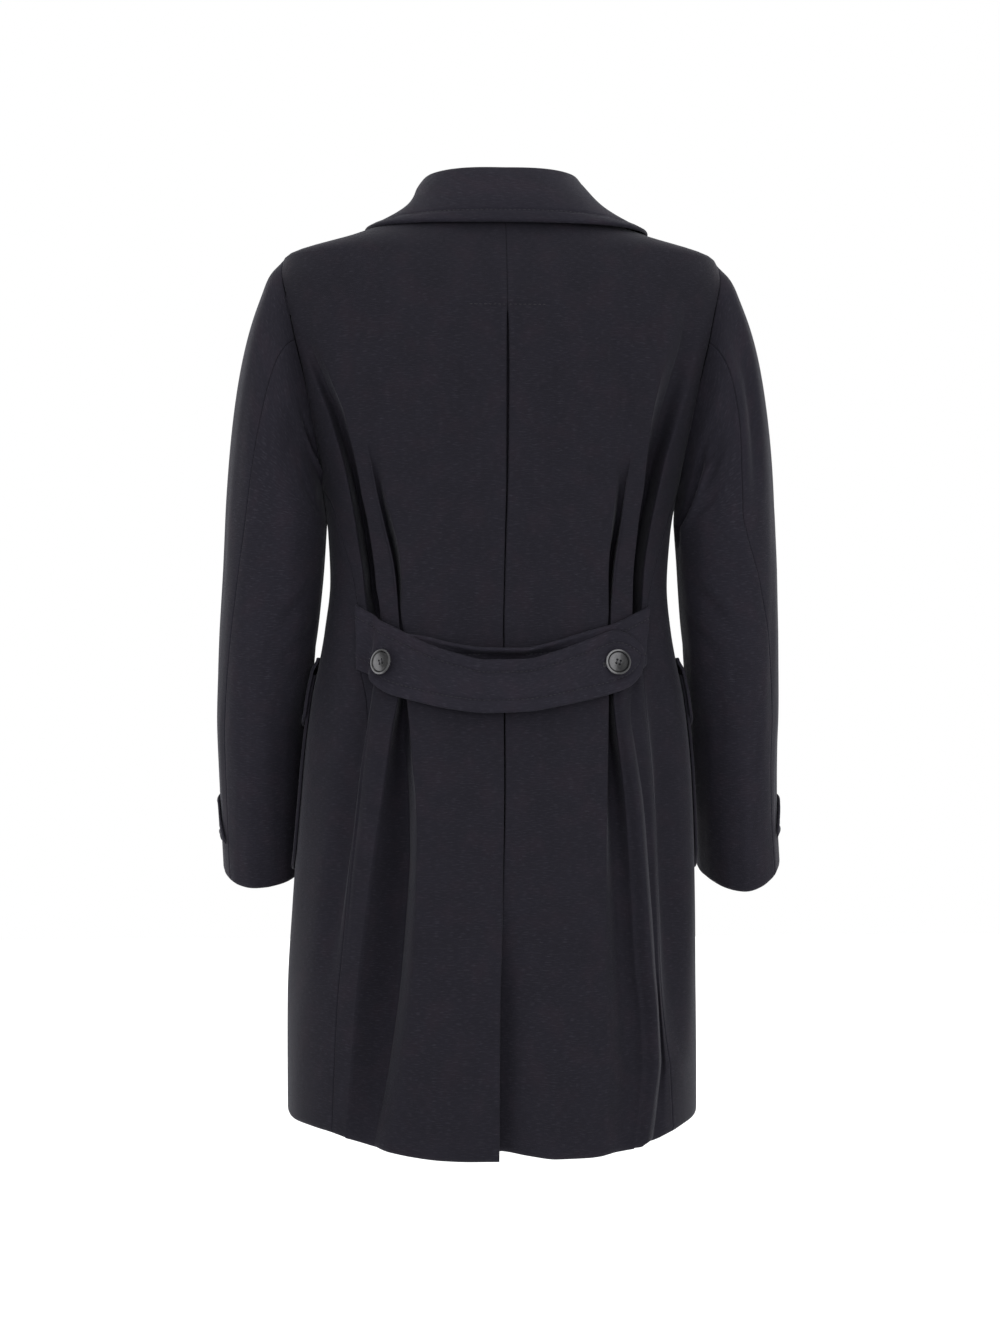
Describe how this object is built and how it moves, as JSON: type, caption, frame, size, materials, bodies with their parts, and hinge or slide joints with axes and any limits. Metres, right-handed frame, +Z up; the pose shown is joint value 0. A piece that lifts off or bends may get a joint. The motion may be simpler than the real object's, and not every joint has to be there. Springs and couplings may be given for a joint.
{
  "type": "double-breasted overcoat",
  "caption": "Double-breasted wool overcoat, filled out as worn: turned-down collar, half belt buttoned over a pleated back, centre vent, patch pockets with flaps and tabbed cuffs.",
  "frame": {"origin": "middle of the neck seam, where the coat hangs on the wearer's neck and shoulders", "axes": "+Z up the wearer, +Y out of the coat's back, -Y out of its front, +X to the wearer's left"},
  "size_m": [0.6049, 0.3276, 1.0007],
  "materials": {
    "wool": "matt brushed wool, dark navy charcoal",
    "button": "semi-gloss, near black"
  },
  "bodies": {
    "root": {"back_left": "wool", "back_right": "wool", "pleat_underlay": "wool", "vent_underlap": "wool", "front_left": "wool", "front_right": "wool", "lapel_left": "wool", "lapel_right": "wool", "collar": "wool", "sleeve_upper_left": "wool", "sleeve_upper_right": "wool", "sleeve_under_left": "wool", "sleeve_under_right": "wool", "cuff_tab_left": "wool", "cuff_tab_right": "wool", "belt_over": "wool", "belt_under": "wool", "pocket_left": "wool", "pocket_right": "wool", "pocket_flap_left": "wool", "pocket_flap_right": "wool", "cuff_button_left": "button", "cuff_button_right": "button", "belt_button_left": "button", "belt_button_right": "button", "front_button_1": "button", "front_button_2": "button", "front_button_3": "button", "front_button_4": "button", "front_button_5": "button", "front_button_6": "button"}
  },
  "joints": []
}
